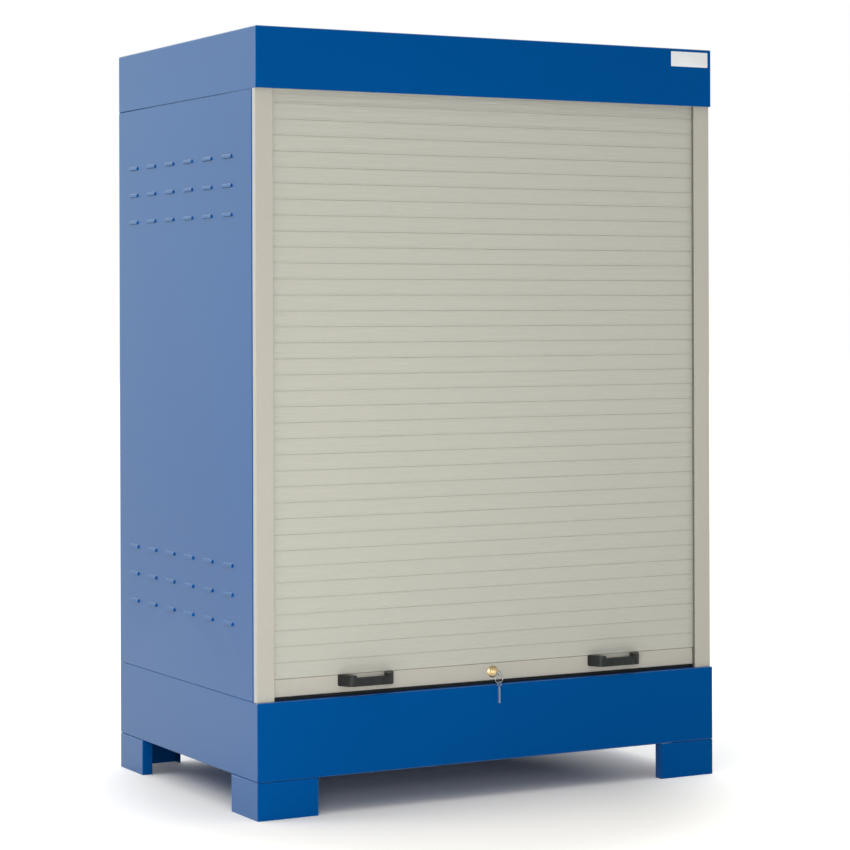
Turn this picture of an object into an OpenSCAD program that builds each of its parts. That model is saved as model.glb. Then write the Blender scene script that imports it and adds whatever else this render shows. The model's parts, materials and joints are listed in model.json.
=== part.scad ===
// Roller shutter drum cabinet.
// A folded sheet steel sump on four corner feet carries side walls, a rear wall and a cap roof.
// A curtain of ball-and-socket slats runs in two guide rails and winds on a sprung drum behind the roof's fascia.
// Millimetres, +Z up, front towards -Y, origin on the floor under the middle of the footprint.

/* [Cabinet] */
// Overall width
cab_w = 1440; // [1300:5:1600]
// Depth over sump and roof
cab_d = 955; // [900:5:1100]
// Overall height
cab_h = 2080; // [1800:5:2300]
// Outside radius of the folded sheet edges
bend_r = 5; // [4.5:0.5:8]

/* [Feet and sump] */
// Height of the feet, the clearance for forks
foot_h = 100; // [80:5:130]
// Leg of a foot along the front or rear
foot_leg_x = 178; // [140:2:240]
// Leg of a foot along the side
foot_leg_y = 170; // [140:2:240]
// Return flange at a foot's free ends
foot_return = 30; // [15:1:60]
// Sheet of the feet
foot_t = 4; // [3:0.5:6]
// Height of the sump
sump_h = 208; // [170:2:260]
// Sheet of the sump
sump_t = 3; // [2:0.5:4]
// Width of the sump's folded rim
rim_w = 45; // [44:1:60]

/* [Gratings] */
// Height of the gratings
grating_h = 30; // [25:1:40]
// Thickness of the bearing bars and the frame
bar_t = 3; // [2:0.5:5]
// Spacing of the bearing bars
bar_pitch = 33; // [30:1:50]
// Spacing of the cross bars
cross_pitch = 66; // [40:1:100]
// Height of the cross bars
cross_h = 10; // [6:1:20]
// Clearance round a grating
grating_gap = 2; // [1:0.5:5]
// Width of the ledges and overlap on the centre beam
ledge_w = 30; // [20:1:40]
// Sheet of the ledges and the centre beam
ledge_t = 4; // [3:0.5:6]
// Height of the centre beam
beam_h = 60; // [40:1:90]

/* [Walls] */
// Sheet of the walls
panel_t = 1.5; // [1:0.25:2]
// Outside radius of a side wall's folds
fold_r = 2.5; // [2:0.25:3]
// Groove between a side wall's step and the roof's edge
joint_gap = 3; // [2:0.5:5]
// How far the walls run up inside the roof
panel_lap = 120; // [110:1:140]
// Front flange of a side wall, which carries the guide rail
front_flange = 15; // [13:0.5:15.5]
// Rear flange of a side wall
rear_flange = 30; // [20:1:50]
// Bottom flange that stands on the sump's rim
base_flange = 40; // [34:1:44]
// Top flange of a side wall
top_flange = 25; // [15:1:40]

/* [Louvres] */
// Length of a louvre
louvre_len = 64; // [50:1:100]
// Height and projection of a louvre
louvre_r = 11; // [9:0.5:14]
// Radius at a louvre's ends
louvre_end_r = 6; // [4:0.5:8.5]
// Louvres in a row
louvre_cols = 6; // [3:1:6]
// Rows in a block
louvre_rows = 3; // [1:1:5]
// Spacing along a row
louvre_step = 131; // [110:1:140]
// Spacing of the rows
louvre_row_step = 78; // [40:1:90]
// Front end of the first louvre, behind the front face
louvre_start = 152; // [60:1:180]
// Lowest louvre above the sump
louvre_rise = 187; // [100:1:300]
// Highest louvre below the roof's edge
louvre_drop = 175; // [100:1:300]

/* [Roof] */
// Height of the roof's fascia
hood_h = 163; // [160:1:200]
// Sheet of the roof
roof_t = 2; // [1.5:0.25:3]
// Lip folded in under the front fascia
hood_lip = 6; // [4:0.5:7.5]

/* [Guide rails] */
// Width of a rail's front face
rail_face = 52; // [48:1:70]
// How far the rails' front faces lie behind the fascia
rail_front = 10; // [9:0.5:12]
// Depth of a rail's outer chamber
rail_box = 18.5; // [17:0.5:20]
// Wall of the rail section
rail_t = 2; // [1.5:0.25:2]
// Depth of the slot for the slat ends
slot_depth = 34; // [30:1:36]
// Width of the slot
slot_w = 12; // [12:0.25:14]
// How far the rails run up behind the fascia
rail_rise = 6; // [2:1:8]
// Thickness of the slide liner in the slot
liner_t = 1.2; // [0.8:0.1:1.2]
// Width of the slide liner
liner_w = 7; // [5:0.5:10]

/* [Curtain] */
// How far the curtain's face lies behind the fascia
curtain_front = 21; // [20.9:0.05:21.1]
// Pitch of the slats
slat_pitch = 42.1; // [40:0.1:46]
// Depth of a slat
slat_d = 9; // [8.75:0.05:9.1]
// Crown of a slat's face
slat_crown = 1; // [0.5:0.1:1.5]
// Open seam between two slats
seam = 1.6; // [1:0.1:2.4]
// Wall of a slat
slat_wall = 1.2; // [1:0.1:1.6]
// Radius of the ball along a slat's top edge
ball_r = 2; // [1.8:0.05:2.1]
// Clearance of a ball in its socket
ball_clear = 0.4; // [0.35:0.05:0.5]
// Thickness of the neck under a ball
neck_t = 1.4; // [1:0.1:1.6]
// Clearance between a slat's end and the bottom of its slot
slat_end_gap = 6; // [3:0.5:10]

/* [Bottom bar] */
// Height of the bottom bar, up to the first seam
bar_h = 48; // [46:1:56]
// Depth of the bottom bar
bar_d = 18; // [17.5:0.25:22]
// Wall of the bottom bar
bar_wall = 2.5; // [2:0.1:2.5]
// Gap under the bar that the rubber seal closes
seal_h = 9; // [6:0.5:14]
// Clearance between the bar's ends and the rails
bar_side_gap = 2; // [1:0.5:4]
// How far the end glides reach into the slots
glide_reach = 10; // [8:0.5:12]

/* [Handles] */
// Length of a handle
handle_len = 167; // [140:1:200]
// Distance of a handle's middle from the cabinet's side
handle_side = 328; // [250:1:470]
// Projection of a handle
handle_out = 40; // [34:1:43]
// Width of a handle's foot
handle_foot_w = 27; // [20:0.5:34]
// Height of a handle's foot
handle_foot_h = 30; // [27:0.5:31]
// Height of the grip
grip_h = 23; // [16:0.5:26]
// Thickness of the grip
grip_t = 12; // [9:0.5:14]
// How far a handle's legs lean in from foot to grip
leg_lean = 20; // [10:0.5:26]
// Chamfer at the grip's outer corners
grip_bevel = 7; // [4:0.5:10]

/* [Lock and keys] */
// Radius of the lock's front flange
lock_face_r = 16; // [14:0.5:18]
// Radius of the flat face in front of the flange's cone
lock_flat_r = 11.5; // [10.5:0.5:12.5]
// Thickness of the front flange
lock_face_t = 4; // [3:0.5:6]
// Radius of the lock's body
lock_body_r = 10; // [9:0.5:11]
// Radius of the turning plug
plug_r = 6.5; // [5.5:0.25:7]
// Throw of the lock bolts
bolt_throw = 15; // [10:0.5:16]
// Height of a lock bolt
bolt_h = 10; // [6:0.5:10]
// Thickness of a lock bolt
bolt_t = 4; // [3:0.25:4]
// Length of a key from its shoulder to the middle of its bow
key_bow_out = 31.5; // [30:0.5:33]
// Radius of a key's bow
key_bow_r = 8.5; // [7.75:0.05:8.75]
// Radius of the hole in a key's bow
key_hole_r = 4.5; // [4.4:0.05:4.6]
// Thickness of a key
key_t = 1.8; // [1.4:0.1:1.8]
// Length of the spare key below its bow
spare_len = 52; // [40:1:52]
// Mean radius of the key ring
ring_r = 12; // [11.8:0.05:13]
// Radius of the key ring's wire
ring_wire_r = 0.9; // [0.7:0.05:0.9]

/* [Winding drum] */
// Radius of the winding tube
tube_r = 35; // [30:0.5:36]
// Wall of the winding tube
tube_wall = 2; // [1.5:0.25:3]
// Radius of the circle on which the wound slats' balls lie
wind_r = 46; // [45.5:0.25:50]
// Height of the drum's axis above the last upright ball
drum_rise = 45; // [35:0.5:50]
// Slats wound on the drum when the shutter is down
wound_n = 5; // [3:1:5]
// Radius of the fixed shaft
shaft_r = 12.5; // [10:0.25:15]
// Running clearance of the drum's bushes on the shaft
bush_clear = 0.05; // [0.02:0.01:0.1]
// Thickness of a bearing bracket's plate
bracket_t = 4; // [3:0.5:6]
// Length of the bearing bracket's boss
boss_len = 22; // [18:1:26]
// Radius of the bearing bracket's boss
boss_r = 25; // [20:0.5:30]
// Space between the torsion spring and the drum's left bush
spring_space = 56; // [10:2:360]

/* [Fasteners] */
// Radius of the wall and bracket screws
screw_r = 4; // [3:0.25:4]
// Radius of the rail and handle screws
small_screw_r = 2.5; // [2:0.25:2.75]
// Radial clearance of a screw in its hole
screw_clear = 0.2; // [0.1:0.05:0.4]

/* [Hidden] */
$fn = 64;
eps = 1;
// Fastener heads, as shares of the screw's size
head_r = 1.8;
head_h = 0.7;
// Levels above the floor
sump_top = foot_h + sump_h;
hood_z = cab_h - hood_h;
panel_top = hood_z + panel_lap;
rail_top = hood_z + rail_rise;
bar_z = sump_top + seal_h;
curtain_z = bar_z + bar_h;
// Widths from the middle
panel_x = cab_w / 2 - roof_t;
rail_in = panel_x - rail_face;
slot_x = rail_in + slot_depth;
slat_half = slot_x - slat_end_gap;
bar_half = rail_in - bar_side_gap;
glide_half = rail_in + glide_reach;
// Depths behind the fascia
rail_back = rail_front + rail_box;
slot_front = curtain_front - (slot_w - slat_d) / 2;
wall_rear = cab_d - roof_t - panel_t;
flange_gap = 0.5;
flange_front = slot_front + slot_w + rail_t + flange_gap;
// Ball joint of the slats, in a slat's own section
hinge_p = 4.6;
hinge_q = 4.8;
socket_r = ball_r + ball_clear;
curl = 58;
slat_bevel = 30;
ball_drop = 0.1;
// Curtain path
inlet_max = 20;
upright_n = floor((hood_z + inlet_max - curtain_z) / slat_pitch);
leaning_n = 2;
hinge_y = curtain_front + hinge_p;
inlet_z = curtain_z + upright_n * slat_pitch + hinge_q;
lean_len = leaning_n * slat_pitch;
drum_dist = sqrt(lean_len * lean_len + wind_r * wind_r);
drum_back = sqrt(drum_dist * drum_dist - drum_rise * drum_rise);
drum_y = hinge_y + drum_back;
drum_z = inlet_z + drum_rise;
touch_a = 180 + atan2(drum_rise, drum_back) - acos(wind_r / drum_dist);
wind_step = 2 * asin(slat_pitch / 2 / wind_r);
lean_y = (drum_y + wind_r * cos(touch_a) - hinge_y) / leaning_n;
lean_z = (drum_z + wind_r * sin(touch_a) - inlet_z) / leaning_n;
lean_a = atan2(lean_y, lean_z);
// Sump mouth and gratings
mouth_w = cab_w - 2 * rim_w;
mouth_d = cab_d - 2 * rim_w;
grating_w = mouth_w / 2 - 1.5 * grating_gap;
grating_d = mouth_d - 2 * grating_gap;
grating_z = sump_top - grating_h;
beam_w = 2 * ledge_w;
// Drum along its axis
boss_in = panel_x - panel_t - bracket_t - boss_len;
thrust_gap = 0.5;
bush_flange = 4;
bush_len = 30;
bush_out = boss_in - thrust_gap;
tube_half = bush_out - bush_flange;
press_gap = 0.02;
spring_len = tube_half - bush_len - spring_space;
bracket_w = 150;
bracket_h = 120;
bracket_screw_y = 60;
bracket_screw_z = 45;
strap_w = 60;
strap_t = 1.2;
spring_wire = 10;
spring_gap = 3.5;
spring_collar = 20;
// Bottom bar: the open back and the groove of the seal
bar_open = 34;
seal_lip = 1.5;
seal_head_h = 2.5;
seal_head_w = 9;
seal_slot = 4;
bar_floor = seal_lip + seal_head_h + 2;
// Lock
lock_z = bar_z + bar_h / 2;
lock_len = 12.5;
lock_rim_t = 1;
plug_clear = 0.05;
cam_gap = 0.5;
cam_t = 2;
cam_r = 15;
crank_r = bolt_throw / sqrt(2);
crank_pin_r = 2;
crank_pin_len = 3;
crank_clear = 0.6;
crank_plate = 2.4;
bolt_p = 4;
bolt_clear = 0.3;
blade_h = 8;
blade_len = 14;
key_slack = 0.15;
rim_mid = (key_hole_r + key_bow_r) / 2;
bow_y = curtain_front - lock_face_t - key_bow_out;
rim_half = (key_bow_r - key_hole_r) / 2;
ring_hold = sqrt(rim_half * rim_half + key_t * key_t / 4) + ring_wire_r + 0.1;
ring_z = lock_z - rim_mid + ring_hold - ring_r;
spare_turn = 15;
spare_slack = 0.45;
spare_hole_z = ring_z - ring_r - (key_hole_r - ring_wire_r - spare_slack);
// Strike
strike_h = 13;
strike_gap = 4;
// Handles and their screws
handle_x = cab_w / 2 - handle_side;
handle_z = bar_z + bar_h - handle_foot_h;
handle_screw_x = (handle_len - handle_foot_w) / 2;
handle_screw_z = lock_z + bolt_h / 2 + small_screw_r * head_r + 1.5;
handle_screw_len = 14;
// Fastener places
base_screw_x = panel_x - base_flange / 2;
base_screw_len = 12;
screw_inset = 120;
base_ys = spread(rail_back + screw_inset, wall_rear - screw_inset, 3);
rail_zs = spread(sump_top + screw_inset, hood_z - screw_inset, 5);
bracket_ys = [drum_y - bracket_screw_y, drum_y + bracket_screw_y];
bracket_zs = [drum_z - bracket_screw_z, drum_z + bracket_screw_z];
stud_rise = 20;
stud_ys = spread(drum_y + bracket_w, wall_rear - screw_inset, 3);
stud_z = hood_z + stud_rise;
// Depth and height of every louvre on a side wall
louvre_low = sump_top + louvre_rise;
louvre_high = hood_z - louvre_drop - (louvre_rows - 1) * louvre_row_step;
louvre_places = [for (z = [louvre_low, louvre_high], j = [0 : louvre_rows - 1], i = [0 : louvre_cols - 1])
    [louvre_start + i * louvre_step, z + j * louvre_row_step]];

// Y of a depth measured back from the fascia
function fy(v) = v - cab_d / 2;

// Spread n places evenly from a to b
function spread(a, b, n) = [for (i = [0 : n - 1]) a + (b - a) * i / (n - 1)];

// A left-hand piece as drawn, or its mirror image on the right
module on_side(right) {
    mirror([right ? 1 : 0, 0, 0]) children();
}

// Rectangle with round corners, from its lower left corner
module round_rect(w, d, r) {
    translate([r, 0]) square([w - 2 * r, d]);
    translate([0, r]) square([w, d - 2 * r]);
    for (x = [r, w - r], y = [r, d - r])
        translate([x, y]) circle(r);
}

// A Y-Z section drawn with depth as x and height as y, drawn out along X from x0 to x1
module along_x(x0, x1) {
    translate([x0, 0, 0]) rotate([90, 0, 90]) linear_extrude(x1 - x0) children();
}

// An X-Z section drawn out along Y from y0 to y1
module along_y(y0, y1) {
    translate([0, y1, 0]) rotate([90, 0, 0]) linear_extrude(y1 - y0) children();
}

// A folded box over the whole footprint, from z0 up, with all its edges round
module folded_box(z0, h) {
    intersection() {
        translate([-cab_w / 2, fy(0), z0]) linear_extrude(h) round_rect(cab_w, cab_d, bend_r);
        along_x(-cab_w / 2, cab_w / 2) translate([fy(0), z0]) round_rect(cab_d, h, bend_r);
        along_y(fy(0), fy(cab_d)) translate([-cab_w / 2, z0]) round_rect(cab_w, h, bend_r);
    }
}

// A screw along +Z with its hexagon head below z = 0
module hex_screw(r, len) {
    translate([0, 0, -2 * r * head_h]) cylinder(2 * r * head_h, r = r * head_r, $fn = 6);
    cylinder(len, r = r);
}

// The screw places on the walls' bottom flanges
module base_places() {
    for (side = [-1, 1], v = base_ys)
        translate([side * base_screw_x, fy(v), sump_top]) children();
    for (x = spread(-cab_w / 3, cab_w / 3, 3))
        translate([x, fy(wall_rear - base_flange / 2), sump_top]) children();
}

module sump_tray() {
    color("#0a5296") difference() {
        folded_box(foot_h, sump_h);
        translate([-cab_w / 2 + sump_t, fy(sump_t), foot_h + sump_t])
            cube([cab_w - 2 * sump_t, cab_d - 2 * sump_t, sump_h - 2 * sump_t]);
        translate([-mouth_w / 2, fy(rim_w), sump_top - 2 * sump_t])
            cube([mouth_w, mouth_d, 3 * sump_t]);
        base_places()
            translate([0, 0, -2 * sump_t]) cylinder(3 * sump_t, r = screw_r + screw_clear);
    }
}

// A corner foot at the front left, folded from one plate
module foot() {
    intersection() {
        translate([-cab_w / 2, fy(0), 0]) linear_extrude(foot_h) difference() {
            round_rect(foot_leg_x, foot_leg_y, bend_r);
            translate([foot_t, foot_t])
                round_rect(foot_leg_x - 2 * foot_t, foot_leg_y - 2 * foot_t, bend_r - foot_t);
            translate([foot_return, foot_return]) square([foot_leg_x, foot_leg_y]);
        }
        folded_box(-foot_h, 2 * foot_h);
    }
}

module foot_front_left() { color("#0a5296") foot(); }
module foot_front_right() { color("#0a5296") mirror([1, 0, 0]) foot(); }
module foot_rear_left() { color("#0a5296") mirror([0, 1, 0]) foot(); }
module foot_rear_right() { color("#0a5296") rotate([0, 0, 180]) foot(); }

// Angle under the side rim: its upright hangs from the rim and its leg carries the grating's end
module grating_ledge() {
    color("#0a5296") along_y(fy(rim_w), fy(cab_d - rim_w)) translate([-mouth_w / 2, grating_z]) {
        translate([-ledge_t, -ledge_t]) square([ledge_t, grating_h - sump_t + ledge_t]);
        translate([-ledge_t, -ledge_t]) square([ledge_w + ledge_t, ledge_t]);
    }
}

module grating_ledge_left() { on_side(false) grating_ledge(); }
module grating_ledge_right() { on_side(true) grating_ledge(); }

// Channel from the front wall to the rear wall of the sump, open below
module grating_beam() {
    color("#0a5296") along_y(fy(sump_t), fy(cab_d - sump_t)) translate([-beam_w / 2, grating_z - beam_h])
        difference() {
            square([beam_w, beam_h]);
            translate([ledge_t, 0]) square([beam_w - 2 * ledge_t, beam_h - ledge_t]);
        }
}

// Lift-out grating: full-height bearing bars along X, lower cross bars along Y flush with its top
module grating() {
    slots = floor((grating_d - bar_t) / bar_pitch);
    cells = floor((grating_w - bar_t) / cross_pitch);
    slot_d = (grating_d - bar_t) / slots - bar_t;
    cell_w = (grating_w - bar_t) / cells - bar_t;
    color("#a9adb0") translate([-mouth_w / 2 + grating_gap, fy(rim_w + grating_gap), grating_z]) {
        linear_extrude(grating_h - cross_h) difference() {
            square([grating_w, grating_d]);
            for (j = [0 : slots - 1])
                translate([bar_t, bar_t + j * (slot_d + bar_t)])
                    square([grating_w - 2 * bar_t, slot_d]);
        }
        translate([0, 0, grating_h - cross_h]) linear_extrude(cross_h) difference() {
            square([grating_w, grating_d]);
            for (i = [0 : cells - 1], j = [0 : slots - 1])
                translate([bar_t + i * (cell_w + bar_t), bar_t + j * (slot_d + bar_t)])
                    square([cell_w, slot_d]);
        }
    }
}

module grating_left() { on_side(false) grating(); }
module grating_right() { on_side(true) grating(); }

// One louvre, a quarter-round hood with round ends that opens downwards; its slot's lower edge lies on z = 0
module louvre_section(r, len, end_r) {
    square([r - end_r, len]);
    translate([0, end_r]) square([r, len - 2 * end_r]);
    for (y = [end_r, len - end_r])
        translate([r - end_r, y]) circle(end_r);
}

module louvre_hood() {
    rotate([-90, 0, 0]) rotate([0, 0, 180]) rotate_extrude(angle = 90) difference() {
        intersection() {
            louvre_section(louvre_r, louvre_len, louvre_end_r);
            square([louvre_r, louvre_len]);
        }
        translate([-eps, panel_t])
            louvre_section(louvre_r - panel_t + eps, louvre_len - 2 * panel_t, louvre_end_r - panel_t);
    }
}

// Quarter of a folded sheet in section, from its left face at x = 0 to its lower face at y = 0
module fold_section() {
    difference() {
        translate([fold_r, fold_r]) circle(fold_r);
        translate([fold_r, fold_r]) circle(fold_r - panel_t);
        translate([fold_r, -eps]) square([fold_r + eps, 2 * fold_r + 2 * eps]);
        translate([-eps, fold_r]) square([2 * fold_r + 2 * eps, fold_r + eps]);
    }
}

// Side wall: flush with sump and roof, and stepped in above a groove to run up inside the roof
module side_panel() {
    step_z = hood_z - joint_gap;
    front = rail_back + fold_r;
    low = sump_top + fold_r;
    hole = screw_r + screw_clear;
    color("#2f63a6") translate([-panel_x, 0, 0]) {
        along_x(-roof_t, panel_t - roof_t) difference() {
            translate([fy(front), low]) square([wall_rear - front, step_z - low]);
            for (p = louvre_places)
                translate([fy(p[0] + panel_t), p[1]]) square([louvre_len - 2 * panel_t, louvre_r - panel_t]);
        }
        translate([-roof_t, fy(front), step_z - panel_t]) cube([roof_t + panel_t, wall_rear - front, panel_t]);
        along_x(0, panel_t) difference() {
            translate([fy(rail_back), step_z - panel_t])
                square([wall_rear - rail_back, panel_top - step_z + panel_t]);
            for (y = bracket_ys, z = bracket_zs)
                translate([fy(y), z]) circle(hole);
            for (v = stud_ys)
                translate([fy(v), stud_z]) circle(hole);
        }
        translate([-roof_t, fy(rail_back), low]) linear_extrude(step_z - low) fold_section();
        along_y(fy(rail_back), fy(rail_back + panel_t)) difference() {
            translate([fold_r - roof_t, low]) square([front_flange + roof_t - fold_r, panel_top - low]);
            for (z = rail_zs)
                translate([front_flange / 2, z]) circle(small_screw_r + screw_clear);
        }
        along_y(fy(front), fy(wall_rear)) translate([-roof_t, sump_top]) fold_section();
        translate([0, 0, sump_top]) linear_extrude(panel_t) difference() {
            translate([fold_r - roof_t, fy(flange_front)])
                square([base_flange + roof_t - fold_r, wall_rear - flange_front]);
            for (v = base_ys)
                translate([base_flange / 2, fy(v)]) circle(hole);
        }
        translate([-roof_t, fy(wall_rear - panel_t), low]) cube([rear_flange + roof_t, panel_t, step_z - low]);
        translate([0, fy(wall_rear - panel_t), step_z - panel_t])
            cube([rear_flange, panel_t, panel_top - step_z + panel_t]);
        translate([0, fy(rail_back), panel_top - panel_t]) cube([top_flange, wall_rear - rail_back, panel_t]);
        for (p = louvre_places)
            translate([panel_t - roof_t, fy(p[0]), p[1]]) louvre_hood();
    }
}

module side_panel_left() { on_side(false) side_panel(); }
module side_panel_right() { on_side(true) side_panel(); }

module rear_panel() {
    color("#2f63a6") difference() {
        union() {
            translate([-panel_x, fy(wall_rear), sump_top]) cube([2 * panel_x, panel_t, panel_top - sump_top]);
            translate([-panel_x + base_flange + eps, fy(wall_rear - base_flange), sump_top])
                cube([2 * (panel_x - base_flange - eps), base_flange + panel_t, panel_t]);
        }
        base_places() translate([0, 0, -eps]) cylinder(panel_t + 2 * eps, r = screw_r + screw_clear);
    }
}

// Cap roof, open below, with a lip folded in under the front fascia
module roof_hood() {
    color("#0a4688") difference() {
        folded_box(hood_z - hood_h, 2 * hood_h);
        translate([-cab_w / 2 - eps, fy(-eps), hood_z - 2 * hood_h])
            cube([cab_w + 2 * eps, cab_d + 2 * eps, 2 * hood_h]);
        translate([-panel_x, fy(roof_t), hood_z + roof_t])
            cube([2 * panel_x, cab_d - 2 * roof_t, hood_h - 2 * roof_t]);
        translate([-panel_x, fy(roof_t + hood_lip), hood_z - eps])
            cube([2 * panel_x, cab_d - 2 * roof_t - hood_lip, hood_h - 2 * roof_t]);
    }
}

// Rail section: an outer chamber, a hollow front lip, the slot and a plain rear lip; u runs in from the outer face
module rail_section() {
    web = rail_face - slot_depth;
    lip = slot_front - rail_front;
    difference() {
        union() {
            translate([0, rail_front]) round_rect(rail_face, lip, rail_t);
            translate([0, rail_front + lip / 2]) square([web, rail_box - lip / 2]);
        }
        translate([rail_t, rail_front + rail_t]) square([web - 2 * rail_t, rail_box - 2 * rail_t]);
        translate([web, rail_front + rail_t]) square([slot_depth - rail_t - liner_t, lip - 2 * rail_t]);
        translate([rail_face - liner_t, rail_front + rail_t]) square([2 * liner_t, lip]);
    }
    translate([web - rail_t, rail_back - rail_t]) square([rail_t, slot_front + slot_w + rail_t - rail_back + rail_t]);
    translate([web - rail_t, slot_front + slot_w]) square([slot_depth + rail_t, rail_t]);
}

// The rail screws' axes along +Y, at the back of the side wall's front flange
module rail_places() {
    for (z = rail_zs)
        translate([-panel_x + front_flange / 2, fy(rail_back + panel_t), z]) rotate([90, 0, 0]) children();
}

module guide_rail() {
    color("#b9b8ae") difference() {
        translate([-panel_x, fy(0), sump_top]) linear_extrude(rail_top - sump_top) rail_section();
        rail_places() cylinder(panel_t + 2 * rail_t, r = small_screw_r + press_gap);
    }
}

module guide_rail_left() { on_side(false) guide_rail(); }
module guide_rail_right() { on_side(true) guide_rail(); }

// Grey liner strips on both lips of the slot; the front one is let into the rail's inner edge
module guide_liner() {
    inner = rail_face - liner_t;
    color("#7d7c75") translate([-panel_x, fy(0), sump_top]) linear_extrude(rail_top - sump_top) {
        translate([inner - liner_w, slot_front]) square([liner_w + liner_t, liner_t]);
        translate([inner, rail_front + rail_t]) square([liner_t, slot_front - rail_front - rail_t + liner_t]);
        translate([inner - liner_w, slot_front + slot_w - liner_t / 2]) square([liner_w, liner_t / 2]);
    }
}

module guide_liner_left() { on_side(false) guide_liner(); }
module guide_liner_right() { on_side(true) guide_liner(); }

// Ball on its neck, which rises out of the body from height root
module ball_edge(root, ball_q) {
    translate([hinge_p - neck_t / 2, root]) square([neck_t, ball_q - root]);
    translate([hinge_p, ball_q]) circle(ball_r);
}

// Slat section: depth p from the face backwards, height q from the seam upwards.
// The ball on its top edge turns in the next slat's socket, whose mouth lets it curl inwards.
module slat_section() {
    crown_r = (slat_pitch * slat_pitch / 4 + slat_crown * slat_crown) / (2 * slat_crown);
    low = seam / 2;
    high = slat_pitch - seam / 2;
    flat = hinge_p - socket_r;
    cut = (slat_d - flat) * tan(slat_bevel);
    rise = hinge_q + socket_r + slat_wall;
    curl_q = hinge_q + neck_t / 2 / sin(curl) + ball_clear;
    difference() {
        union() {
            intersection() {
                translate([crown_r, slat_pitch / 2]) circle(crown_r, $fn = 256);
                polygon([[0, low], [flat, low], [slat_d, low + cut], [slat_d, high - cut], [flat, high], [0, high]]);
            }
            ball_edge(high - cut, slat_pitch + hinge_q - ball_drop);
        }
        translate([hinge_p, hinge_q]) circle(socket_r);
        polygon([
            [hinge_p - neck_t, hinge_q], [hinge_p - neck_t, 0], [slat_d + eps, 0],
            [slat_d + eps, curl_q - (slat_d + eps - hinge_p) / tan(curl)], [hinge_p, curl_q]
        ]);
        translate([slat_crown / 2 + slat_wall, rise])
            square([slat_d - slat_crown / 2 - 2 * slat_wall, high - cut - slat_wall - rise]);
    }
}

// A slat whose socket turns on the ball at depth v and height z, leaning back by angle a
module slat_at(v, z, a) {
    translate([0, fy(v), z]) rotate([-a, 0, 0]) translate([0, -hinge_p, -hinge_q])
        along_x(-slat_half, slat_half) slat_section();
}

// Upright slats in the rails, then the slats that lean back to the drum
module curtain_slats() {
    color("#bdbcb1") {
        for (i = [0 : upright_n - 1])
            slat_at(hinge_y, curtain_z + hinge_q + i * slat_pitch, 0);
        for (i = [0 : leaning_n - 1])
            slat_at(hinge_y + i * lean_y, inlet_z + i * lean_z, lean_a);
    }
}

// The last slats, already wound round the tube
module wound_slats() {
    color("#bdbcb1") for (k = [0 : wound_n - 1]) {
        a = touch_a - k * wind_step;
        slat_at(drum_y + wind_r * cos(a), drum_z + wind_r * sin(a), 180 - a + wind_step / 2);
    }
}

// Bottom bar section: a channel with an open back, a groove for the seal and a ball along its top
module bar_section() {
    top = bar_h - seam / 2;
    difference() {
        union() {
            round_rect(bar_d, top, bar_wall);
            ball_edge(top - bar_wall / 2, bar_h + hinge_q - ball_drop);
        }
        translate([bar_wall, bar_floor]) square([bar_d - 2 * bar_wall, top - bar_wall - bar_floor]);
        translate([bar_d / 2, (bar_h - bar_open) / 2]) square([bar_d, bar_open]);
        translate([(bar_d - seal_head_w) / 2, seal_lip]) square([seal_head_w, seal_head_h]);
        translate([(bar_d - seal_slot) / 2, -eps]) square([seal_slot, seal_lip + 2 * eps]);
    }
}

module bottom_bar() {
    color("#bdbcb1") difference() {
        along_x(-bar_half, bar_half) translate([fy(curtain_front), bar_z]) bar_section();
        translate([0, fy(curtain_front), lock_z]) rotate([90, 0, 0])
            cylinder(4 * bar_wall, r = lock_body_r + screw_clear, center = true);
        handle_screw_places() cylinder(4 * bar_wall, r = small_screw_r + screw_clear, center = true);
    }
}

// End glide: a plug in the bar's end and a tongue in the rail's slot, with a window for the lock bolt
module bar_glide() {
    plug = 20;
    fit = 0.3;
    tongue = slat_d - 2 * fit;
    tall = bar_h - seam / 2;
    inner_d = bar_d - 2 * bar_wall - 2 * fit;
    inner_h = tall - bar_wall - bar_floor - 2 * fit;
    color("#232323") difference() {
        union() {
            translate([-bar_half, fy(curtain_front + bar_wall + fit), bar_z + bar_floor + fit])
                cube([plug, inner_d, inner_h]);
            translate([-glide_half, fy(curtain_front + fit), bar_z + bar_wall])
                cube([glide_half - bar_half, tongue, tall - 2 * bar_wall]);
        }
        translate([-glide_half - eps, fy(curtain_front + bolt_p - bolt_clear), lock_z - bolt_h / 2 - bolt_clear])
            cube([plug + glide_half - bar_half + 2 * eps, bolt_t + 2 * bolt_clear, bolt_h + 2 * bolt_clear]);
    }
}

module bar_glide_left() { on_side(false) bar_glide(); }
module bar_glide_right() { on_side(true) bar_glide(); }

// Rubber seal: a head and stem in the bar's groove and a round-edged lip down to the sump's rim
module bottom_seal() {
    fit = 0.2;
    lip = bar_d - 2;
    color("#161616") along_x(-bar_half, bar_half) translate([fy(curtain_front + bar_d / 2), bar_z]) {
        translate([fit - seal_head_w / 2, seal_lip + fit]) square([seal_head_w - 2 * fit, seal_head_h - 2 * fit]);
        translate([fit - seal_slot / 2, -1]) square([seal_slot - 2 * fit, seal_lip + fit + 2]);
        translate([-lip / 2, -seal_h + 0.3]) round_rect(lip, seal_h - 0.3 - fit, 2);
    }
}

// The handle screws' axes along -Y, at the inner face of the bar's front wall
module handle_screw_places() {
    for (x = [-handle_x, handle_x], s = [-1, 1])
        translate([x + s * handle_screw_x, fy(curtain_front + bar_wall), handle_screw_z])
            rotate([90, 0, 0]) children();
}

module handle_screws() {
    color("#8c8f93") handle_screw_places() hex_screw(small_screw_r, handle_screw_len);
}

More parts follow.
